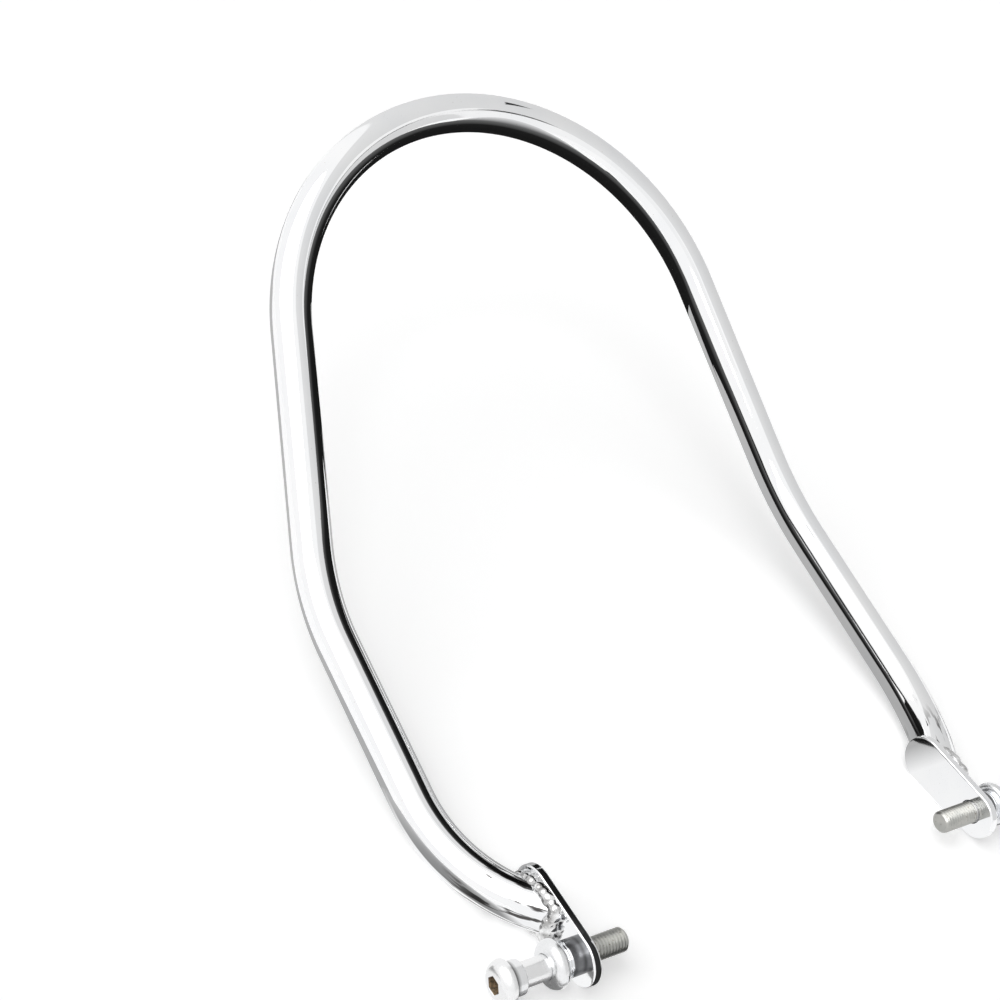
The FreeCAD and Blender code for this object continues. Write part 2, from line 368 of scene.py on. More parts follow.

# %% Painted dark reflections, as streaks on the tube beside the welds
STREAK = (0.05, 0.046, 0.044, 1)
STREAKS_Y = (-68 * MM, -48 * MM)
tree, shader, clean, where = reopened(chrome_tube)
clear = shader.inputs["Roughness"].links[0].from_socket
# The streaks are painted reflections in the tube's colour; where they lie, the roughness rises as well.
near_weld = range_node(tree, coordinate(tree, where, "Y"), *STREAKS_Y, 0.0, 1.0)
along_tube = stretched(tree, stored_vector(tree, "straightened"), (1, 1, 0.13))
smear = noise_node(tree, along_tube, 290.0, 3.0, 0.56)
streak = math_node(tree, "MULTIPLY", range_node(tree, smear, 0.525, 0.58, 0.0, 0.95), near_weld)
tree.links.new(mix_node(tree, streak, clean, STREAK), shader.inputs["Base Color"])
tree.links.new(range_node(tree, streak, 0.0, 1.0, clear, 0.16), shader.inputs["Roughness"])
print("heat streaks on", chrome_tube.name)

# %% [markdown]
# The weld is plated with the rest, but its tone is uneven and it has small pits. Its ripples are geometry,
# made further on, so the material only adds a faint bump between them.

# %% Chrome over the weld, with uneven tone and small pits
WELD_SHADE = (0.24, 0.235, 0.23, 1)
WELD_PIT = (0.34, 0.30, 0.27, 1)
chrome_weld, tree, shader, where = new_material("chrome_weld")
tone = place_group(tree, tint, where, Scale=190.0, First=CHROME, Second=WELD_SHADE)
spots = place_group(tree, specks, where, Scale=1100.0, Share=0.05, Clean=tone.outputs["Color"],
                    Speck=WELD_PIT)
tree.links.new(spots.outputs["Color"], shader.inputs["Base Color"])
mirror = place_group(tree, polish, where, Line_Vector=where, Haze_Scale=300.0, Clear=0.06, Hazy=0.18)
tree.links.new(mirror.outputs["Roughness"], shader.inputs["Roughness"])
add_bump(tree, shader, noise_node(tree, where, 420.0), 0.25 * MM, 0.08)
print("finish", chrome_weld.name)

# %% [markdown]
# The spacers are plain turned steel. A lathe leaves rings on it, shade is painted in the corner at the tab
# and on the underside, and the end with the ridges is bright. One material could be given to each zone of the
# mesh.
# Mixing the zones inside one material keeps the CAD mesh as it is.

# %% Satin steel of the spacers
SATIN = (0.20, 0.203, 0.21, 1)
SATIN_DARK = (0.13, 0.132, 0.138, 1)
RIDGES_X = (137.95 * MM, 138.0 * MM)
TAB_CORNER_X = (132.2 * MM, 133.6 * MM)
UNDERSIDE_Z = (-6.5 * MM, 0.5 * MM)
satin_steel, tree, shader, where = new_material("satin_steel")
distance = outboard(tree, where)
ridged = range_node(tree, distance, *RIDGES_X, 0.0, 1.0)
# Painted shade: darker in the corner next to the tab's face and towards the underside.
corner = range_node(tree, distance, *TAB_CORNER_X, 0.55, 0.0)
underneath = range_node(tree, coordinate(tree, where, "Z"), *UNDERSIDE_Z, 0.9, 0.0)
painted_shade_share = math_node(tree, "MAXIMUM", corner, underneath)
tone = place_group(tree, tint, where, Scale=120.0, First=SATIN, Second=SATIN_DARK)
shaded_tone = mix_node(tree, painted_shade_share, tone.outputs["Color"], PAINTED_SHADE)
tree.links.new(mix_node(tree, ridged, shaded_tone, CHROME_COOL), shader.inputs["Base Color"])
rings = place_group(tree, turning, where, Scale=5200.0)
satin = range_node(tree, rings.outputs["Rings"], 0.3, 0.7, 0.26, 0.42)
tree.links.new(range_node(tree, ridged, 0.0, 1.0, satin, 0.12), shader.inputs["Roughness"])
add_bump(tree, shader, rings.outputs["Rings"], 0.05 * MM, 0.35)
print("finish", satin_steel.name)

# %% [markdown]
# A bolt is chromed where it shows, its thread behind the tab is plain zinc, and its socket holds brown dirt
# mixed with painted shade for the dark of the recess.
# The first two change along the bolt's axis, so one material mixes them. The socket has faces of its own,
# so it gets a second material.

# %% Bolts: chrome on the head and shank, plain zinc on the thread
ZINC = (0.47, 0.465, 0.44, 1)
ZINC_DULL = (0.38, 0.385, 0.37, 1)
ZINC_DIRT = (0.16, 0.13, 0.10, 1)
CHROME_FROM_X = (126.5 * MM, 127.5 * MM)
bolt_finish, tree, shader, where = new_material("bolt_finish")
bright = range_node(tree, outboard(tree, where), *CHROME_FROM_X, 0.0, 1.0)
tone = place_group(tree, tint, where, Scale=200.0, First=ZINC, Second=ZINC_DULL)
zinc = place_group(tree, specks, where, Scale=900.0, Share=0.3, Clean=tone.outputs["Color"], Speck=ZINC_DIRT)
colour = mix_node(tree, bright, zinc.outputs["Color"], FIXING_CHROME)
tree.links.new(colour, shader.inputs["Base Color"])
mirror = place_group(tree, polish, where, Line_Vector=where, Clear=0.25, Hazy=0.38)
rough = range_node(tree, bright, 0.0, 1.0, 0.34, mirror.outputs["Roughness"])
tree.links.new(rough, shader.inputs["Roughness"])
rings = place_group(tree, turning, where, Scale=4000.0)
add_bump(tree, shader, rings.outputs["Rings"], 0.02 * MM, 0.1)
print("finish", bolt_finish.name)

# %% Brown dirt and painted shade in the bolts' sockets
SOCKET_PAINTED_SHADE = (0.08, 0.072, 0.064, 1)
SOCKET_BROWN = (0.66, 0.50, 0.33, 1)
socket_grime, tree, shader, where = new_material("socket_grime", metallic=0.6)
# The dark tone is painted shade for the recess; the brown tone is dirt.
tone = place_group(tree, tint, where, Scale=560.0, First=SOCKET_PAINTED_SHADE, Second=SOCKET_BROWN)
tree.links.new(tone.outputs["Color"], shader.inputs["Base Color"])
grain = noise_node(tree, where, 2400.0, 3.0, 0.6)
tree.links.new(range_node(tree, grain, 0.3, 0.7, 0.3, 0.6), shader.inputs["Roughness"])
add_bump(tree, shader, grain, 0.05 * MM, 0.4)
print("finish", socket_grime.name)

# %% [markdown]
# ## The tube
# A bent tube follows a rule: a circle carried along a line of straight runs and round bends. It could be
# modelled by hand or with a curve's bevel. Geometry Nodes fit better, because the sweep keeps its sizes as
# named inputs, and each point can remember where it would lie if the tube were straightened.
# The route repeats the bend table of the CAD model, with its angles in degrees: a short end that drops and
# toes out, a straight arm, a straight limb that leans in, and half of the arch. The left half mirrors the
# right one.

# %% Route of the tube's middle line
TUBE_R = 11.1 * MM
# the tab's outer face, the front of the weld on it, and how much of the foot's thin tip is cut away
FACE_X = 132 * MM
WELD_FRONT = 18.0 * MM
TIP_CUT = 7.2 * MM
END_DROP = 10
END_TOE = 38
END_BEND_R = 102 * MM
ARM_OFFSET = 28 * MM
ARM_SLOPE = 15
ARM_RUN = 91 * MM
KICK_BEND_R = 122 * MM
LIMB_SLOPE = 40
LIMB_TOE_IN = 12
LIMB_RUN = 114 * MM
BEND_STEP = math.radians(1.5)
INWARD = Vector((-1, 0, 0))


def heading(rise, spread):
    """Unit vector that runs rearward, rising and spreading outward by angles in degrees."""
    return Vector((math.tan(math.radians(spread)), -1, math.tan(math.radians(rise)))).normalized()


def round_bend(start, along, onward, radius):
    """Points of a bend after its start, from one direction to the next."""
    axis = along.cross(onward).normalized()
    centre = start + axis.cross(along) * radius
    turn = along.angle(onward)
    count = math.ceil(turn / BEND_STEP)
    return [centre + Matrix.Rotation(turn * step / count, 3, axis) @ (start - centre)
            for step in range(1, count + 1)]


end_way = heading(-END_DROP, END_TOE)
arm_way = heading(ARM_SLOPE, 0)
limb_way = heading(LIMB_SLOPE, -LIMB_TOE_IN)
foot_half = TUBE_R / end_way.x
foot_centre = Vector((FACE_X, TIP_CUT - foot_half - WELD_FRONT, 0))
end_run = ARM_OFFSET / end_way.x - END_BEND_R * math.tan(end_way.angle(arm_way) / 2)
route = [foot_centre - end_way * foot_half * 2, foot_centre + end_way * end_run]
route += round_bend(route[-1], end_way, arm_way, END_BEND_R)
route.append(route[-1] + arm_way * ARM_RUN)
route += round_bend(route[-1], arm_way, limb_way, KICK_BEND_R)
route.append(route[-1] + limb_way * LIMB_RUN)
arch_r = route[-1].x / math.sin(limb_way.angle(INWARD))
route += round_bend(route[-1], limb_way, INWARD, arch_r)
route += [Vector((-point.x, point.y, point.z)) for point in reversed(route[:-1])]
print("route of", len(route), "points, arch radius", round(arch_r / MM, 1), "mm")

# %% [markdown]
# A Geometry Nodes tree is built first, with named inputs. It is then run on an object, and the result is kept
# as a plain mesh. An input is set by the identifier of its socket, and the modifier is removed as soon as its
# mesh is taken.

# %% Helpers for Geometry Nodes
def new_geometry_tree(name, inputs):
    """Geometry Nodes tree with named inputs; returns the tree, its input node and its output node."""
    tree = bpy.data.node_groups.new(name, "GeometryNodeTree")
    tree.interface.new_socket("Geometry", in_out="INPUT", socket_type="NodeSocketGeometry")
    for label, kind in inputs:
        tree.interface.new_socket(label, in_out="INPUT", socket_type="NodeSocket" + kind)
    tree.interface.new_socket("Geometry", in_out="OUTPUT", socket_type="NodeSocketGeometry")
    return tree, tree.nodes.new("NodeGroupInput"), tree.nodes.new("NodeGroupOutput")


def chain(tree, *steps):
    """Makes a row of links, each from an output socket to an input socket."""
    for output, socket in steps:
        tree.links.new(output, socket)


def end_tree(tree, made, given, result):
    """Last steps of a tree: what was made becomes real geometry and wears the given finish."""
    real = tree.nodes.new("GeometryNodeRealizeInstances")
    dress = tree.nodes.new("GeometryNodeSetMaterial")
    chain(
        tree,
        (made, real.inputs["Geometry"]),
        (real.outputs["Geometry"], dress.inputs["Geometry"]),
        (given.outputs["Finish"], dress.inputs["Material"]),
        (dress.outputs["Geometry"], result.inputs["Geometry"]),
    )


# %% Tree that sweeps a tube and remembers its straightened shape
sweep, given, result = new_geometry_tree(
    "tube_sweep", [("Tube Radius", "Float"), ("Sides", "Int"), ("Finish", "Material")])
to_curve = sweep.nodes.new("GeometryNodeMeshToCurve")
ring_curve = sweep.nodes.new("GeometryNodeCurvePrimitiveCircle")
run_length = sweep.nodes.new("GeometryNodeSplineParameter")
keep_run = sweep.nodes.new("GeometryNodeCaptureAttribute")
keep_run.capture_items.new("FLOAT", "Run")
ring_place = sweep.nodes.new("GeometryNodeInputPosition")
keep_ring = sweep.nodes.new("GeometryNodeCaptureAttribute")
keep_ring.capture_items.new("VECTOR", "Ring")
skin = sweep.nodes.new("GeometryNodeCurveToMesh")
split = sweep.nodes.new("ShaderNodeSeparateXYZ")
join = sweep.nodes.new("ShaderNodeCombineXYZ")
store = sweep.nodes.new("GeometryNodeStoreNamedAttribute")
store.data_type = "FLOAT_VECTOR"
store.inputs["Name"].default_value = "straightened"
chain(
    sweep,
    (given.outputs["Geometry"], to_curve.inputs["Mesh"]),
    (given.outputs["Tube Radius"], ring_curve.inputs["Radius"]),
    (given.outputs["Sides"], ring_curve.inputs["Resolution"]),
    (to_curve.outputs["Curve"], keep_run.inputs["Geometry"]),
    (run_length.outputs["Length"], keep_run.inputs["Run"]),
    (ring_curve.outputs["Curve"], keep_ring.inputs["Geometry"]),
    (ring_place.outputs["Position"], keep_ring.inputs["Ring"]),
    (keep_run.outputs["Geometry"], skin.inputs["Curve"]),
    (keep_ring.outputs["Geometry"], skin.inputs["Profile Curve"]),
    (keep_ring.outputs["Ring"], split.inputs["Vector"]),
    (split.outputs["X"], join.inputs["X"]),
    (split.outputs["Y"], join.inputs["Y"]),
    (keep_run.outputs["Run"], join.inputs["Z"]),
    (skin.outputs["Mesh"], store.inputs["Geometry"]),
    (join.outputs["Vector"], store.inputs["Value"]),
)
end_tree(sweep, store.outputs["Geometry"], given, result)
print("tree", sweep.name)

# %% Sweep the tube along its route
TUBE_SIDES = 96


def take_mesh(carrier):
    """What a carrier's modifiers make, as a plain mesh; the modifiers and the carrier are removed."""
    graph = bpy.context.evaluated_depsgraph_get()
    made = bpy.data.meshes.new_from_object(carrier.evaluated_get(graph), depsgraph=graph)
    carrier.modifiers.clear()
    bpy.data.objects.remove(carrier)
    return made


def run_tree(mesh, tree, **values):
    """Runs a tree on a mesh and returns what it makes as a new plain mesh."""
    carrier = add_object("carrier", mesh)
    modifier = carrier.modifiers.new(tree.name, "NODES")
    modifier.node_group = tree
    for socket in tree.interface.items_tree:
        key = socket.name.replace(" ", "_")
        if socket.in_out == "INPUT" and key in values:
            modifier[socket.identifier] = values[key]
    return take_mesh(carrier)


route_mesh = bpy.data.meshes.new("route")
route_mesh.from_pydata(route, [(number, number + 1) for number in range(len(route) - 1)], [])
swept = run_tree(route_mesh, sweep, Tube_Radius=TUBE_R, Sides=TUBE_SIDES, Finish=chrome_tube)
print("swept tube:", len(swept.vertices), "points,", len(swept.polygons), "faces")

# %% [markdown]
# The sweep runs on through the tabs. Each end is cut off by the tab's outer face, and its thin tip by a
# plane square to the tab, as the welder's cut does. The open edges are filled, and the edges of the two
# caps stay sharp. The outline of each cap is kept, because the weld follows it.

# %% Helpers that cut a mesh and write it back
CUT_SNAP = 1e-7
CUT_GAP = 1e-6


def cut_away(work, near, point, normal):
    """Cuts off what lies in front of a plane, among the faces that the test picks, and caps the cut."""
    faces = [face for face in work.faces if near(face.calc_center_median())]
    edges = {edge for face in faces for edge in face.edges}
    points = {vertex for face in faces for vertex in face.verts}
    bmesh.ops.bisect_plane(work, geom=[*points, *edges, *faces], dist=CUT_SNAP,
                           plane_co=point, plane_no=normal, clear_outer=True)

    def on_plane(vertex):
        return abs((vertex.co - Vector(point)).dot(normal)) < CUT_GAP

    rim = [edge for edge in work.edges if edge.is_boundary and all(map(on_plane, edge.verts))]
    caps = bmesh.ops.holes_fill(work, edges=rim)["faces"]
    for cap in caps:
        cap.smooth = False
        for edge in cap.edges:
            edge.smooth = False
    return caps


def smooth_faces(work):
    """Shades every face smooth."""
    for face in work.faces:
        face.smooth = True


def write_mesh(work, mesh):
    """Turns the faces outward, writes the work into a mesh and lets the work go."""
    bmesh.ops.recalc_face_normals(work, faces=work.faces)
    work.to_mesh(mesh)
    work.free()


# %% Cut the tube's ends
TAB_ZONE_X = 90 * MM
TAB_ZONE_Y = -75 * MM
SQUARE_ENOUGH = 1e-4
FEWEST_CAP_CORNERS = 9


def show(name, mesh, node):
    """Puts a finished mesh in the scene in place of a CAD node, on the one body of the bar."""
    mesh.name = name
    piece = add_object(name, mesh)
    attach(piece, "root")
    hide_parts(node)


def near_tab(side):
    """Test that picks what lies near the tab on one side."""
    return lambda middle: middle.x * side > TAB_ZONE_X and middle.y > TAB_ZONE_Y


def is_foot(face, side):
    """Whether a face is the cap that lies on the tab of one side."""
    square = abs(abs(face.normal.x) - 1) < SQUARE_ENOUGH
    return square and len(face.verts) >= FEWEST_CAP_CORNERS and face.calc_center_median().x * side > 0


work = bmesh.new()
work.from_mesh(swept)
smooth_faces(work)
seams = {}
for side in (1, -1):
    cut_away(work, near_tab(side), (FACE_X * side, 0, 0), Vector((-side, 0, 0)))
    end_caps = cut_away(work, near_tab(side), (0, -WELD_FRONT, 0), Vector((0, 1, 0)))
    foot = next(face for face in work.faces if is_foot(face, side))
    seams[side] = ([loop.vert.co.copy() for loop in foot.loops],
                   [loop.vert.co.copy() for loop in end_caps[0].loops])
write_mesh(work, swept)
show("chrome_tube_loop", swept, "grab_tube")
print("tube:", len(swept.polygons), "faces; seam points", [len(points) for points in seams[1]])

# %% [markdown]
# ## Weld beads
# A weld is a row of ripples laid one over the next along a seam, then plated over. It could be sculpted, but
# ripples that follow a seam are a rule. Geometry Nodes put one drop at each step along the seam, turned to
# follow it and a little uneven, with a fixed seed. A voxel remesh melts the drops into one skin, and the
# skin is cut off flat by the tab's face.

# %% Tree that lays drops along a seam
# size of the least and the largest drop, as a share of the given one
LEAST_DROP = 0.72
MOST_DROP = 1.15
ripples, given, result = new_geometry_tree(
    "weld_ripples", [("Step", "Float"), ("Drop Length", "Float"), ("Drop Radius", "Float"),
                     ("Seed", "Int"), ("Finish", "Material")])
to_curve = ripples.nodes.new("GeometryNodeMeshToCurve")
spaced = ripples.nodes.new("GeometryNodeResampleCurve")
spaced.mode = "LENGTH"
tangent = ripples.nodes.new("GeometryNodeInputTangent")
turn_to = ripples.nodes.new("FunctionNodeAlignRotationToVector")
turn_to.axis = "X"
drop = ripples.nodes.new("GeometryNodeMeshIcoSphere")
drop.inputs["Radius"].default_value = 1.0
drop.inputs["Subdivisions"].default_value = 4
uneven = ripples.nodes.new("FunctionNodeRandomValue")
uneven.data_type = "FLOAT"
uneven.inputs[2].default_value = LEAST_DROP
uneven.inputs[3].default_value = MOST_DROP
sizes = ripples.nodes.new("ShaderNodeCombineXYZ")
scaled = ripples.nodes.new("ShaderNodeVectorMath")
scaled.operation = "SCALE"
laid = ripples.nodes.new("GeometryNodeInstanceOnPoints")
chain(
    ripples,
    (given.outputs["Geometry"], to_curve.inputs["Mesh"]),
    (to_curve.outputs["Curve"], spaced.inputs["Curve"]),
    (given.outputs["Step"], spaced.inputs["Length"]),
    (tangent.outputs["Tangent"], turn_to.inputs["Vector"]),
    (given.outputs["Drop Length"], sizes.inputs["X"]),
    (given.outputs["Drop Radius"], sizes.inputs["Y"]),
    (given.outputs["Drop Radius"], sizes.inputs["Z"]),
    (given.outputs["Seed"], uneven.inputs["Seed"]),
    (sizes.outputs["Vector"], scaled.inputs[0]),
    (uneven.outputs[1], scaled.inputs["Scale"]),
    (spaced.outputs["Curve"], laid.inputs["Points"]),
    (drop.outputs["Mesh"], laid.inputs["Instance"]),
    (turn_to.outputs["Rotation"], laid.inputs["Rotation"]),
    (scaled.outputs["Vector"], laid.inputs["Scale"]),
)
end_tree(ripples, laid.outputs["Instances"], given, result)
print("tree", ripples.name)

# %% Seam that the drops follow
BEAD_LIFT = 1.4 * MM
INNER_ROW = 0.45


def seam_mesh(foot, cut_end):
    """Edges along the seam on the tab and over the rim of the tube's cut end, raised by the bead's lift."""
    low = [Vector((max(point.x, FACE_X + BEAD_LIFT), point.y, point.z)) for point in foot]
    over = [point for point in cut_end if point.x > FACE_X + BEAD_LIFT]
    start = max(range(len(over)), key=lambda number: (over[number - 1] - over[number]).length)
    over = over[start:] + over[:start]
    middle = sum(cut_end, Vector()) / len(cut_end)
    inner = [middle.lerp(point, INNER_ROW) for point in over]
    work = bmesh.new()
    for points, closed in ((low, True), (over, False), (inner, False)):
        made = [work.verts.new(point) for point in points]
        for one, two in zip(made, made[1:]):
            work.edges.new((one, two))
        if closed:
            work.edges.new((made[-1], made[0]))
    mesh = bpy.data.meshes.new("seam")
    write_mesh(work, mesh)
    return mesh


seam = seam_mesh(*seams[1])
print("seam of", len(seam.vertices), "points")

# %% Make the right bead and mirror it for the left
BEAD_R = 3.5 * MM
DROP_STEP = 3.4 * MM
DROP_LENGTH = 4.0 * MM
DROP_SEED = 7
VOXEL = 0.35 * MM
SMOOTH_STEPS = 18


def remeshed(mesh, voxel, smooth_steps):
    """One closed skin round all the shells of a mesh, with its steps smoothed."""
    carrier = add_object("carrier", mesh)
    skin = carrier.modifiers.new("skin", "REMESH")
    skin.mode = "VOXEL"
    skin.voxel_size = voxel
    ease = carrier.modifiers.new("ease", "SMOOTH")
    ease.iterations = smooth_steps
    return take_mesh(carrier)


def mirrored_mesh(mesh, name):
    """The same mesh on the left side, turned right side out."""
    copy = mesh.copy()
    copy.name = name
    copy.transform(Matrix.Scale(-1, 4, Vector((1, 0, 0))))
    copy.flip_normals()
    return copy


drops = run_tree(seam, ripples, Step=DROP_STEP, Drop_Length=DROP_LENGTH, Drop_Radius=BEAD_R,
                 Seed=DROP_SEED, Finish=chrome_weld)
bead = remeshed(drops, VOXEL, SMOOTH_STEPS)
work = bmesh.new()
work.from_mesh(bead)
cut_away(work, lambda middle: True, (FACE_X, 0, 0), INWARD)
smooth_faces(work)
write_mesh(work, bead)
bead.materials.clear()
bead.materials.append(chrome_weld)
show("right_weld", bead, "right_weld_bead")
show("left_weld", mirrored_mesh(bead, "left_weld"), "left_weld_bead")
print("bead:", len(bead.polygons), "faces")

# %% [markdown]
# ## Bolts
# A bolt is turned: rings of points round one axis, from the tip to the head. A Screw modifier could turn such
# a profile, but rings can also take a radius that changes round the turn, and so the hexagon socket is part
# of the same skin. The thread is a rule along a spiral, so a Geometry Nodes tree moves the points of the
# plain end in and out by how far round and along they are.

# %% Helper that skins rings round the bolt's axis
SHARP_ANGLE = math.radians(40)


def turned(name, rings, count, finish):
    """Mesh through rings of (x, radius), from point to point; a radius may be a function of the angle."""
    work = bmesh.new()
    rows = []
    for x, radius in rings:
        if radius == 0:
            rows.append([work.verts.new((x, 0, 0))])
            continue
        row = []
        for number in range(count):
            angle = 2 * math.pi * number / count
            reach = radius(angle) if callable(radius) else radius
            row.append(work.verts.new((x, reach * math.cos(angle), reach * math.sin(angle))))
        rows.append(row)
    for one, two in zip(rows, rows[1:]):
        for number in range(count):
            after = (number + 1) % count
            corners = (one[number % len(one)], one[after % len(one)],
                       two[after % len(two)], two[number % len(two)])
            work.faces.new(list(dict.fromkeys(corners)))
    smooth_faces(work)
    mesh = bpy.data.meshes.new(name)
    write_mesh(work, mesh)
    mesh.materials.append(finish)
    mesh.set_sharp_from_angle(angle=SHARP_ANGLE)
    return mesh


# %% Turn the right bolt with its socket
BOLT_R = 6.0 * MM
BOLT_SIDES = 96
TIP_X = 104.5 * MM
TIP_CHAMFER_L = 1.1 * MM
TIP_CHAMFER_R = 1.3 * MM
THREAD_R = 5.9 * MM
THREAD_END = 127.5 * MM
THREAD_ROWS = 150
SHOULDER_L = 0.1 * MM
SHANK_ROW = 4 * MM
HEAD_CORNER = 0.01 * MM
HEAD_BASE_X = 169.5 * MM
HEAD_R = 10.5 * MM
HEAD_EDGE = 0.2 * MM
TOP_X = 176.1 * MM
DOME_R = 5.7 * MM
DOME_STEPS = 18
SOCKET_HALF = 4.0 * MM
SOCKET_DEPTH = 4.2 * MM
SOCKET_LEAD = 0.12 * MM
SOCKET_ROUND = 0.1 * MM


def hexagon(half_flat):
    """Radius of a hexagon at an angle, from half the distance across its flats."""
    def reach(angle):
        return half_flat / math.cos((angle % (math.pi / 3)) - math.pi / 6)
    return reach


thread_start = TIP_X + TIP_CHAMFER_L
rim_x = TOP_X - DOME_R
socket_floor = TOP_X - SOCKET_DEPTH
rings = [(TIP_X, 0), (TIP_X, THREAD_R - TIP_CHAMFER_R)]
for number in range(THREAD_ROWS + 1):
    rings.append((thread_start + (THREAD_END - thread_start) * number / THREAD_ROWS, THREAD_R))
rings += [
    (THREAD_END + SHOULDER_L, BOLT_R),
    (THREAD_END + SHANK_ROW, BOLT_R),
    (HEAD_BASE_X - HEAD_CORNER, BOLT_R),
    (HEAD_BASE_X, BOLT_R + HEAD_CORNER * 2),
    (HEAD_BASE_X, HEAD_R - HEAD_EDGE),
    (HEAD_BASE_X + HEAD_EDGE * 0.3, HEAD_R - HEAD_EDGE * 0.3),
    (HEAD_BASE_X + HEAD_EDGE, HEAD_R),
    (rim_x, HEAD_R),
]
for number in range(1, DOME_STEPS + 1):
    turn = math.pi / 2 * number / DOME_STEPS
    rings.append((rim_x + DOME_R * math.sin(turn), HEAD_R - DOME_R + DOME_R * math.cos(turn)))
rings += [
    (TOP_X, hexagon(SOCKET_HALF + SOCKET_LEAD)),
    (TOP_X - SOCKET_LEAD, hexagon(SOCKET_HALF)),
    (socket_floor + SOCKET_ROUND, hexagon(SOCKET_HALF)),
    (socket_floor, hexagon(SOCKET_HALF - SOCKET_ROUND)),
    (socket_floor, SOCKET_HALF * 0.3),
    (socket_floor, 0),
]
plain_bolt = turned("plain_bolt", rings, BOLT_SIDES, bolt_finish)
print("plain bolt:", len(plain_bolt.polygons), "faces")

# %% Tree that rolls a thread into the plain end
# half the crest's width as a share of the pitch, then how steeply the flank falls from it
CREST = 0.07
FLANK_SLOPE = 2.32
thread, given, result = new_geometry_tree(
    "rolled_thread", [("Pitch", "Float"), ("Depth", "Float"), ("Start", "Float"), ("End", "Float"),
                      ("Finish", "Material")])
place = thread.nodes.new("GeometryNodeInputPosition")
split = thread.nodes.new("ShaderNodeSeparateXYZ")
thread.links.new(place.outputs["Position"], split.inputs["Vector"])
turn = math_node(thread, "ARCTAN2", split.outputs["Z"], split.outputs["Y"])
turns = math_node(thread, "DIVIDE", turn, 2 * math.pi)
pitches = math_node(thread, "DIVIDE", split.outputs["X"], given.outputs["Pitch"])
phase = math_node(thread, "ADD", pitches, turns)
saw = math_node(thread, "FRACT", phase)
wave = math_node(thread, "PINGPONG", saw, 0.5)
past_crest = math_node(thread, "SUBTRACT", wave, CREST, clamp=True)
groove = math_node(thread, "MULTIPLY", past_crest, FLANK_SLOPE, clamp=True)
rise = math_node(thread, "DIVIDE", math_node(thread, "SUBTRACT", split.outputs["X"], given.outputs["Start"]),
                 given.outputs["Pitch"], clamp=True)
fall = math_node(thread, "DIVIDE", math_node(thread, "SUBTRACT", given.outputs["End"], split.outputs["X"]),
                 given.outputs["Pitch"], clamp=True)
depth = math_node(thread, "MULTIPLY", math_node(thread, "MULTIPLY", rise, fall),
                  math_node(thread, "MULTIPLY", groove, given.outputs["Depth"]))
spoke = thread.nodes.new("ShaderNodeCombineXYZ")
thread.links.new(split.outputs["Y"], spoke.inputs["Y"])
thread.links.new(split.outputs["Z"], spoke.inputs["Z"])
unit = thread.nodes.new("ShaderNodeVectorMath")
unit.operation = "NORMALIZE"
inward = thread.nodes.new("ShaderNodeVectorMath")
inward.operation = "SCALE"
move = thread.nodes.new("GeometryNodeSetPosition")
chain(
    thread,
    (spoke.outputs["Vector"], unit.inputs[0]),
    (unit.outputs["Vector"], inward.inputs[0]),
    (math_node(thread, "MULTIPLY", depth, -1.0), inward.inputs["Scale"]),
    (given.outputs["Geometry"], move.inputs["Geometry"]),
    (inward.outputs["Vector"], move.inputs["Offset"]),
)
end_tree(thread, move.outputs["Geometry"], given, result)
print("tree", thread.name)

# %% Roll the thread, darken the socket and mirror the bolt for the left
PITCH = 1.75 * MM
THREAD_DEPTH = 0.95 * MM
RUN_IN = 0.3 * MM
RUN_OUT = 0.6 * MM
# just past the corners of a hexagon, as a share of half its flats
CORNER_REACH = 1.16
bolt = run_tree(plain_bolt, thread, Pitch=PITCH, Depth=THREAD_DEPTH, Start=TIP_X + RUN_IN,
                End=THREAD_END - RUN_OUT, Finish=bolt_finish)
bolt.materials.append(socket_grime)
for face in bolt.polygons:
    within = math.hypot(face.center.y, face.center.z) < SOCKET_HALF * CORNER_REACH
    if within and socket_floor - SOCKET_LEAD < face.center.x < TOP_X - SOCKET_LEAD:
        face.material_index = len(bolt.materials) - 1
show("right_bolt", bolt, "right_mount_bolt")
show("left_bolt", mirrored_mesh(bolt, "left_bolt"), "left_mount_bolt")
print("bolt:", len(bolt.polygons), "faces, thread pitch", PITCH / MM, "mm")

# %% [markdown]
# ## Pieces that stay as the CAD model has them
# The tabs, spacers, washers and collars already have their rounded edges and grooves, so the CAD nodes
# stay. Only their materials are replaced.

# %% Dress the CAD nodes
finishes = {
    "mounting_tab": chrome_plate,
    "ridged_spacer": satin_steel,
    "dome_washer": chrome_fixings,
    "head_collar": chrome_fixings,
}
for name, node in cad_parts.items():
    finish = finishes.get(name.partition("_")[2])
    if finish:
        node.data.materials.clear()
        node.data.materials.append(finish)
        print(name, "gets", finish.name)

# %% [markdown]
# ## Floor, world and lamps
# Chrome shows only what stands round it, so the surroundings are part of its look. The floor is white, and
# so is the world on the right, while the left is pale grey. To the camera the world is plain white.
# Lamps near the bar would leave bright patches on the floor, so two wide suns light the whole floor alike
# and leave a soft shadow on it.

# %% Floor
FLOOR_HALF = 6.0
FLOOR_Z = cad_box[0][2]
FLOOR_COLOUR = (0.9, 0.9, 0.9, 1)
FLOOR_GLOW = 0.3
WHITE = (1, 1, 1, 1)


def without_shine(shader, colour, roughness):
    """Makes a surface that mirrors nothing, with a white glow if its strength is set."""
    shader.inputs["Base Color"].default_value = colour
    shader.inputs["Roughness"].default_value = roughness
    shader.inputs["Specular IOR Level"].default_value = 0.0
    shader.inputs["Emission Color"].default_value = WHITE


def ray_kinds(tree):
    """Two masks: the camera's rays, and the camera's rays with those of mirrors and glass."""
    path = tree.nodes.new("ShaderNodeLightPath")
    direct = path.outputs["Is Camera Ray"]
    bounced = math_node(tree, "MAXIMUM", path.outputs["Is Glossy Ray"], path.outputs["Is Transmission Ray"])
    return direct, math_node(tree, "MAXIMUM", direct, bounced)


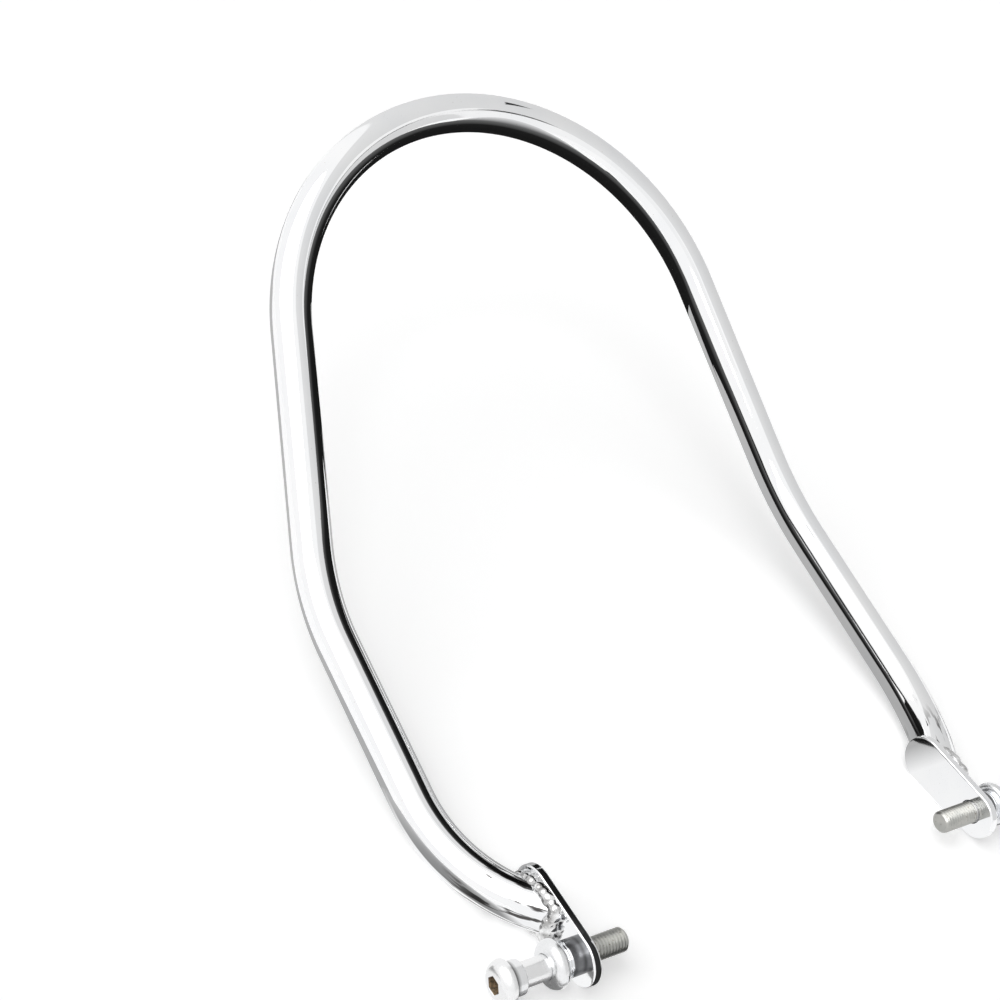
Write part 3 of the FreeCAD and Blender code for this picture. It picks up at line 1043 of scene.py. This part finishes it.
corners = [(x * FLOOR_HALF, y * FLOOR_HALF, FLOOR_Z) for x, y in ((-1, -1), (1, -1), (1, 1), (-1, 1))]
floor_mesh = bpy.data.meshes.new("floor")
floor_mesh.from_pydata(corners, [], [(0, 1, 2, 3)])
floor = add_object("floor", floor_mesh)
floor_finish, tree, shader, where = new_material("floor_finish", metallic=0.0)
without_shine(shader, FLOOR_COLOUR, 0.9)
direct, seen = ray_kinds(tree)
tree.links.new(math_node(tree, "MULTIPLY", seen, FLOOR_GLOW), shader.inputs["Emission Strength"])
floor_mesh.materials.append(floor_finish)
print("floor at", round(FLOOR_Z, 4))

# %% World: white on the right, pale grey on the left
WORLD_LIGHT = 0.35
# place from left (0) to right (1), then the shade there
WORLD_SHADES = ((0.0, 0.66), (0.412, 0.79), (0.424, 1.0), (1.0, 1.0))
world = bpy.data.worlds.new("studio")
bpy.context.scene.world = world
world.use_nodes = True
tree = world.node_tree
sky = tree.nodes["Background"]
ramp = tree.nodes.new("ShaderNodeValToRGB")
while len(ramp.color_ramp.elements) < len(WORLD_SHADES):
    ramp.color_ramp.elements.new(0.5)
for element, (position, shade) in zip(ramp.color_ramp.elements, WORLD_SHADES):
    element.position = position
    element.color = (shade, shade, shade, 1)
toward = tree.nodes.new("ShaderNodeTexCoord").outputs["Generated"]
tree.links.new(range_node(tree, coordinate(tree, toward, "X"), -1.0, 1.0, 0.0, 1.0), ramp.inputs["Fac"])
direct, seen = ray_kinds(tree)
tree.links.new(mix_node(tree, direct, ramp.outputs["Color"], WHITE), sky.inputs["Color"])
tree.links.new(range_node(tree, seen, 0.0, 1.0, WORLD_LIGHT, 1.0), sky.inputs["Strength"])
print("world", world.name)


# %% Lamps
def soft_sun(name, from_way, spread, strength):
    """Wide sun that shines from a direction: it lights the whole floor alike, with soft shadows."""
    data = bpy.data.lights.new(name, "SUN")
    data.angle = math.radians(spread)
    data.energy = strength
    lamp = add_object(name, data)
    lamp.rotation_euler = Vector(from_way).to_track_quat("Z", "Y").to_euler()


soft_sun("sky_light", from_way=(0.53, -0.09, 0.84), spread=62, strength=1.5)
soft_sun("key_light", from_way=(0.47, 0.48, 0.74), spread=18, strength=0.42)
print("two wide suns")

# %% [markdown]
# ## Cards
# A mirror among plain white shows no shape, so photographers hold cards beside chrome to draw lines on it.
# Here a grey card lies under the bar, small cards stand near the arch, the right arm and the mounts, and a
# dark strip runs round the inside of the loop. A picture on the world could draw such lines too, but a card
# stands near the bar, so its line moves with the view as a real one does. Each card glows with its own
# shade, and only reflections can see it.

# %% Helpers for cards
BLACK = (0, 0, 0, 1)


def card(name, points, faces, shades):
    """Card with a shade at each point, hidden from the camera and from the lamps' light."""
    mesh = bpy.data.meshes.new(name)
    mesh.from_pydata(points, [], faces)
    mesh.attributes.new("shade", "FLOAT", "POINT").data.foreach_set("value", shades)
    piece = add_object(name, mesh)
    piece.visible_camera = False
    piece.visible_diffuse = False
    piece.visible_shadow = False
    piece.visible_transmission = False
    finish, tree, shader, where = new_material(name + "_finish", metallic=0.0)
    without_shine(shader, BLACK, 1.0)
    shade = tree.nodes.new("ShaderNodeAttribute")
    shade.attribute_name = "shade"
    tree.links.new(shade.outputs["Fac"], shader.inputs["Emission Strength"])
    mesh.materials.append(finish)


def flat_card(name, corners, shade):
    """Card of one face and one shade."""
    card(name, corners, [tuple(range(len(corners)))], [shade] * len(corners))


def strip_card(name, rows):
    """Card through rows of (point, shade), all of the same length."""
    width = len(rows[0])
    points, shades = zip(*[pair for row in rows for pair in row])
    faces = [(first, first + 1, first + width + 1, first + width)
             for start in range(0, len(points) - width, width)
             for first in range(start, start + width - 1)]
    card(name, points, faces, shades)


# %% Grey card under the bar and black card under the arch
GREY_Z = -13
# Y of a row, half its width and its shade
GREY_ROWS = (
    (-900, 420, 0.5), (-300, 215, 0.5), (-90, 215, 0.42),
    (-58, 215, 0.46), (-42, 215, 0.95), (25, 215, 1.0),
)
strip_card("grey_card", [[(mm(x, y, GREY_Z), shade) for x in (-half, half)] for y, half, shade in GREY_ROWS])
BACK_Z = 90
BACK_OUTLINE = ((60, -400), (-40, -400), (-60, -340), (-150, -340), (-150, -600), (60, -600))
flat_card("back_card", [mm(x, y, BACK_Z) for x, y in BACK_OUTLINE], 0.01)
print("grey card of", len(GREY_ROWS), "rows and a black card")

# %% Small cards round the mounts
NOSE_X = 127.3
NOSE_REACHES = (15.6, 23)
NOSE_SHADE = 0.03
rows = []
for degrees in range(-12, 157, 8):
    turn = math.radians(degrees)
    rim = [mm(NOSE_X, math.sin(turn) * reach, math.cos(turn) * reach) for reach in NOSE_REACHES]
    rows.append([(point, NOSE_SHADE) for point in rim])
strip_card("nose_card", rows)
LOW_Z = -12.8
for name, shade, outline in (
    ("front_card", 0.02, ((131, 8), (131, 16), (129, 23), (108, 62), (60, 62), (60, 8))),
    ("front_bar", 0.3, ((134, 17), (164, 17), (164, 24), (134, 24))),
    ("right_under_bar", 0.22, ((141, -7), (168, -7), (168, 16), (141, 16))),
    ("left_under_bar", 0.22, ((-141, -7), (-168, -7), (-168, 16), (-141, 16))),
):
    flat_card(name, [mm(x, y, LOW_Z) for x, y in outline], shade)
BEHIND_Y = -15
BEHIND_OUTLINE = ((134, -12.6), (178, -12.6), (178, 34), (134, 34))
flat_card("behind_card", [mm(x, BEHIND_Y, z) for x, z in BEHIND_OUTLINE], 1.0)
print("small cards round the mounts")

# %% Card beside the right arm: a bright line, then dark grey that pales outward
ARM_Z = -12.7
ARM_COLUMNS = (-16, -1, 1, 60, 220)
# Y of a row, X of the dark edge, then the shades inside the edge, at it, further out and at the far side
ARM_ROWS = (
    (-130, 184, 0.50, 0.50, 0.55, 0.90),
    (-98, 178, 0.90, 0.36, 0.45, 0.75),
    (-84, 174, 1.0, 0.30, 0.40, 0.70),
    (-65, 168, 1.0, 0.26, 0.36, 0.68),
    (-48, 160, 1.0, 0.24, 0.34, 0.66),
    (-33, 150, 1.0, 0.30, 0.50, 0.80),
    (-24, 140, 1.0, 0.90, 0.95, 1.0),
)
rows = []
for y, edge, inside, dark, middle, outside in ARM_ROWS:
    shades = (inside, inside, dark, middle, outside)
    rows.append([(mm(edge + column, y, ARM_Z), shade) for column, shade in zip(ARM_COLUMNS, shades)])
strip_card("arm_card", rows)
print("card beside the arm:", len(rows), "rows")

# %% [markdown]
# The dark strip stands inside the loop and follows the tube, so that its reflection is one long band. Its
# bottom and top rise and fall along the way. A few heights are listed, and the heights between them
# are worked out and eased, so that the band's edges have no corners.

# %% Heights of the dark strip
EASE_POINTS = 6
FINE_STEP = 6 * MM
# share of the tube's length, then the strip's bottom and top in mm above the tube's middle line
STRIP_TABLE = (
    (0.00, 40, 95), (0.07, 31, 84), (0.11, 21, 73), (0.20, 18, 66), (0.22, 4, 56), (0.24, 2, 44),
    (0.32, 0, 42), (0.345, -40, 30), (0.365, -150, 20), (0.40, -185, 13), (0.43, -185, 7), (0.46, -185, 1),
    (0.49, -185, -4), (0.52, -185, -7.5), (0.55, -185, -10.5), (0.58, -185, -6.5), (0.61, -185, -3),
    (0.64, -150, 0.5), (0.67, -70, 3), (0.70, -34, 4.5), (0.78, -24, 5), (0.86, -14, 4), (0.90, -12, 4),
    (1.00, -12, 2),
)


def table_value(share, column):
    """Value of the strip's table at a share of the length, in metres, between two rows."""
    for low, high in zip(STRIP_TABLE, STRIP_TABLE[1:]):
        if share <= high[0]:
            blend = (share - low[0]) / (high[0] - low[0])
            return (low[column] + (high[column] - low[column]) * blend) * MM
    return STRIP_TABLE[-1][column] * MM


def eased(values, number):
    """Mean of a value and its neighbours along the strip, so that its edges have no corners."""
    near = values[max(number - EASE_POINTS, 0):number + EASE_POINTS + 1]
    return sum(near) / len(near)


fine_route = []
for start, end in zip(route, route[1:]):
    count = math.ceil((end - start).length / FINE_STEP)
    fine_route += [start.lerp(end, number / count) for number in range(count)]
fine_route.append(route[-1])
runs = [0.0]
for start, end in zip(fine_route, fine_route[1:]):
    runs.append(runs[-1] + (end - start).length)
shares = [run / runs[-1] for run in runs]
bottoms, tops = ([table_value(share, column) for share in shares] for column in (1, 2))
print("strip of", len(runs), "steps along", round(runs[-1] / MM), "mm")

# %% Dark strip that follows the tube round the inside of the loop
STRIP_GAP = 40 * MM
SOFT_EDGE = 22 * MM
FADE_HEIGHT = 22 * MM
FADE_START = 0.515
FADE_SHARE = 0.07
STRIP_SHADES = (0.008, 0.012, 0.12, 0.75)
rows = []
for number, point in enumerate(fine_route):
    way = fine_route[min(number + 1, len(fine_route) - 1)] - fine_route[max(number - 1, 0)]
    foot = point + Vector((way.y, -way.x, 0)).normalized() * STRIP_GAP
    bottom, top = eased(bottoms, number), eased(tops, number)
    middle = top - min(SOFT_EDGE, (top - bottom) / 2)
    faded = min(max((shares[number] - FADE_START) / FADE_SHARE, 0), 1)
    heights = (bottom, middle, top, top + FADE_HEIGHT * math.sin(math.pi * faded))
    rows.append([(foot + Vector((0, 0, height)), shade) for height, shade in zip(heights, STRIP_SHADES)])
strip_card("loop_card", rows)
print("dark strip:", len(rows), "rows")

# %% Bright sheet and two dark bars in front of the arch
SHEET_R = 220 * MM
SHEET_SIDES = (-138, -80)
SHEET_SHADE = 0.94
BAR_R = SHEET_R - 4 * MM
BAR_SHADE = 0.03
ARCH_TOP = route[len(route) // 2]


def on_sheet(angle, x, radius):
    """Point on a round sheet about the arch's top, by its X and its angle from straight up to the front."""
    turn = math.radians(angle)
    return Vector((x * MM, ARCH_TOP.y + math.sin(turn) * radius, ARCH_TOP.z + math.cos(turn) * radius))


strip_card("bright_sheet", [[(on_sheet(angle, x, SHEET_R), SHEET_SHADE) for x in SHEET_SIDES]
                            for angle in range(38, 93, 9)])
# angle and X of each corner
for name, outline in (
    ("short_bar", ((-20, -194), (0, -180), (-4, -200), (-10, -232), (-17, -210))),
    ("long_bar", ((44, -134), (46, -141), (49, -143), (52, -141), (54, -134), (51, -131))),
):
    flat_card(name, [on_sheet(angle, x, BAR_R) for angle, x in outline], BAR_SHADE)
print("bright sheet and two bars at", round(SHEET_R / MM), "mm from the arch")
